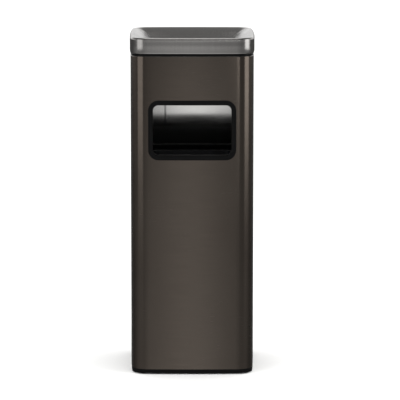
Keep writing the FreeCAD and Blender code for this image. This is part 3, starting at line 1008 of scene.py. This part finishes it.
makeBucket()
makeBail()
makeGrip()
print("bucket and bail ready")


def crossMesh(width, length, low, high):
    # a plus-shaped rod for the screw recess
    w, r = width / 2, length / 2
    outline = [(r, -w), (r, w), (w, w), (w, r), (-w, r), (-w, w), (-r, w), (-r, -w), (-w, -w), (-w, -r),
               (w, -r), (w, -w)]
    loops = [[Vector((x * taper, y * taper, height)) * mm for x, y in outline]
             for taper, height in ((1.15, low), (0.8, high))]
    return loopMesh(loops, capped=True)


def screwMesh(head, tall, shank, length):
    # pan head below, shank above the bearing face
    body = latheMesh([
        (head * 0.5, -tall), (head * 0.78, -tall * 0.93), (head * 0.94, -tall * 0.7), (head, -tall * 0.35),
        (head, -0.08), (head - 0.08, 0), (shank, 0), (shank, length - 0.4), (shank - 0.4, length)], 28)
    return cutMesh(body, [crossMesh(head * 0.3, head * 1.15, -tall - 0.5, -tall * 0.4)])


def nutMesh(flats, height, bore):
    loops = []
    for step in range(36):
        angle = math.tau * step / 36
        outer = flats / 2 / math.cos((angle % (math.pi / 3)) - math.pi / 6)
        eased = min(outer, flats / 2 * 1.02)        # corners turned off top and bottom
        run = [(eased, 0), (outer, 0.35), (outer, height - 0.35), (eased, height), (bore, height), (bore, 0)]
        turn = Matrix.Rotation(angle, 3, "Z")
        loops.append([turn @ Vector((radius, 0, z)) * mm for radius, z in run])
    return loopMesh(loops)


def rivetMesh(head, headTall, shank, length, tail, tailTall):
    # tail below, domed head above
    return latheMesh([
        (tail * 0.5, -tailTall), (tail * 0.85, -tailTall * 0.8), (tail, -tailTall * 0.3), (tail, 0),
        (shank, 0), (shank, length), (head, length), (head * 0.97, length + headTall * 0.35),
        (head * 0.8, length + headTall * 0.75), (head * 0.45, length + headTall)])


def footMesh(radius, tall, well, wellTop, hole):
    # a rubber disc with a well for the screw's head
    return tubeMesh([
        (well, 0.3), (well + 0.3, 0.0), (radius - 0.7, 0.0), (radius, 0.7), (radius, tall - 0.3),
        (radius - 0.3, tall), (hole, tall), (hole, wellTop), (well, wellTop)], 48)


# Screws: head radius and height, shank radius and length. Nuts: flats, height, bore. Rivets: head
# radius and height, shank radius and length, tail radius and height. Feet: radius, height, well's
# radius and height, hole. Places: sides, number a side, distance out, along the side, height.
footReach = baseSizes["foot"]
baseScrews, collarScrews = shellSizes["baseScrews"], shellSizes["collarScrews"]
fasteners = {
    "collar_screws": ("collarScrews", screwMesh(3.0, 2.0, 1.5, 4.6), (4, 2, *collarScrews, 588.0)),
    "base_screws": ("baseScrews", screwMesh(2.8, 2.2, 1.5, 9.3), (4, 2, *baseScrews, 5.0)),
    "foot_screws": ("footScrews", screwMesh(3.8, 1.7, 2.0, 9.0), (4, 1, footReach, footReach, 2.2)),
    "base_nuts": ("baseNuts", nutMesh(5.5, 2.4, 1.5), (4, 2, *baseScrews, 10.3)),
    "foot_nuts": ("footNuts", nutMesh(7.0, 3.2, 2.0), (4, 1, footReach, footReach, 7.2)),
    "guide_rivets": ("guideRivets", rivetMesh(3.0, 1.2, 1.6, 2.4, 2.6, 1.0), (4, 1, 77.0, 0.0, 6.0)),
}
for node, (name, shape, place) in fasteners.items():
    mesh = placeFasteners(shape, zincPlate, *place)
    addPiece(name, mesh, [zincPlate], "housing", node)

earRivet = rivetMesh(2.6, 1.2, 1.6, 3.5, 2.6, 1.0)
earRivet.transform(Matrix.Rotation(math.radians(90), 4, "Y"))
mesh = placeFasteners(earRivet, zincPlate, 2, 2, 78.0, 9.0, 386.5, turnSpread=0.0)
addPiece("earRivets", mesh, [zincPlate], "bucket", "ear_rivets")
foot = footMesh(10.0, 4.0, 4.4, 2.2, 2.0)
mesh = placeFasteners(foot, footRubber, 4, 1, footReach, footReach, 0.0)
addPiece("rubberFeet", mesh, [footRubber], "housing", "rubber_feet")
print("fasteners and feet ready")

# Studio: pale floor, white surround, softly graded light for reflections, upright strips at the sides
studio = {
    "floor": 40000.0,
    "floorDepth": 20.0,
    "cameraPlace": (0.0, -5.0, 1.0911),
    "cameraTilt": 8.898,
    "lens": 243.6,
    "shift": 0.0196,
    "farthest": 50.0,
    "surround": 1.0,
    "diffuse": 1.35,
    "turnOver": 0.35,       # sine of the turn over which the front's light gives way to the rear's
}
# brightness by the sine of the elevation, in front of the column and behind it
frontGlow = (
    (-1.0, 1.3), (-0.5, 1.2), (-0.3, 0.7), (-0.2, 0.84), (-0.135, 1.02), (-0.115, 0.55), (-0.04, 0.55),
    (-0.02, 1.1), (0.03, 0.95), (0.08, 0.55), (0.15, 0.35), (0.97, 0.35), (0.99, 4.0),
)
rearGlow = ((-1.0, 0.12), (0.047, 0.12), (0.058, 1.2), (0.45, 1.2), (0.56, 0.28), (0.97, 0.28), (0.99, 4.0))
# and its share across the front, from left to right
acrossGlow = (
    (-1.0, 0.4), (-0.3, 0.4), (-0.12, 0.45), (-0.095, 0.53), (-0.055, 0.82), (-0.025, 1.0), (0.028, 1.0),
    (0.055, 0.66), (0.085, 0.48), (0.12, 0.38), (0.3, 0.35), (1.0, 0.3),
)
# name: place, turn about Z, width, height, watts
strips = {
    "leftStrip": ((-1.25, -1.25, 1.05), -45, 1.2, 1.5, 6.5),
    "rightStrip": ((1.53, -0.67, 1.08), 66, 1.0, 1.5, 9.5),
    "nearFrontStrip": ((0.61, -3.3, 1.25), 10, 0.08, 1.3, 2.2),
}


def makeWorld():
    world = bpy.data.worlds.new("studio")
    bpy.context.scene.world = world
    world.use_nodes = True
    world.cycles.sampling_method = "NONE"
    tree = world.node_tree
    add = partial(addNode, tree)
    background = tree.nodes["Background"]
    path = add("ShaderNodeLightPath")
    direction = add("ShaderNodeTexCoord")
    parts = add("ShaderNodeSeparateXYZ", {}, {"Vector": (direction, "Generated")})
    ramps = []
    for axis, stops in (("Z", frontGlow), ("Z", rearGlow), ("X", acrossGlow)):
        share = add("ShaderNodeMapRange", {"From Min": -1.0}, {"Value": (parts, axis)})
        ramp = add("ShaderNodeValToRGB", {}, {"Fac": (share, 0)})
        elements = ramp.color_ramp.elements
        while len(elements) < len(stops):
            elements.new(0.5)
        for element, (place, glow) in zip(elements, stops):
            element.position = (place + 1) / 2
            element.color = (glow, glow, glow, 1)
        ramps.append(ramp)
    front = add("ShaderNodeMix", {"data_type": "RGBA", "blend_type": "MULTIPLY", 0: 1.0},
                {6: (ramps[0], 0), 7: (ramps[2], 0)})
    turnOver = studio["turnOver"]
    facing = add("ShaderNodeMapRange", {"From Min": -turnOver, "From Max": turnOver},
                 {"Value": (parts, "Y")})
    glow = add("ShaderNodeMix", {"data_type": "RGBA"}, {0: (facing, 0), 6: (front, 2), 7: (ramps[1], 0)})
    soft = add("ShaderNodeMix", {"data_type": "RGBA", 7: (studio["diffuse"],) * 3 + (1,)},
               {0: (path, "Is Diffuse Ray"), 6: (glow, 2)})
    seen = add("ShaderNodeMix", {"data_type": "RGBA", 7: (studio["surround"],) * 3 + (1,)},
               {0: (path, "Is Camera Ray"), 6: (soft, 2)})
    tree.links.new(seen.outputs[2], background.inputs["Color"])


def makeStudio():
    half = studio["floor"] / 2
    floor = blockMesh((-half, -half, -studio["floorDepth"]), (half, half, 0.0))
    floor.materials.append(floorPaint)
    ground = looseObject("floor", floor)
    ground.visible_glossy = False
    for name, (place, turn, wide, tall, watts) in strips.items():
        light = bpy.data.lights.new(name, "AREA")
        light.shape = "RECTANGLE"
        light.size, light.size_y, light.energy = wide, tall, watts
        lamp = looseObject(name, light)
        lamp.location = place
        lamp.rotation_euler = (math.radians(90), 0, math.radians(turn))
        lamp.visible_camera = False
    camera = bpy.data.cameras.new("camera")
    camera.lens, camera.shift_x = studio["lens"], studio["shift"]
    camera.clip_end = studio["farthest"]
    seat = looseObject("camera", camera)
    seat.location = studio["cameraPlace"]
    seat.rotation_euler = (math.radians(90 - studio["cameraTilt"]), 0, 0)
    bpy.context.scene.camera = seat
    bpy.context.scene.view_settings.view_transform = "Standard"


makeWorld()
makeStudio()
print("studio ready")
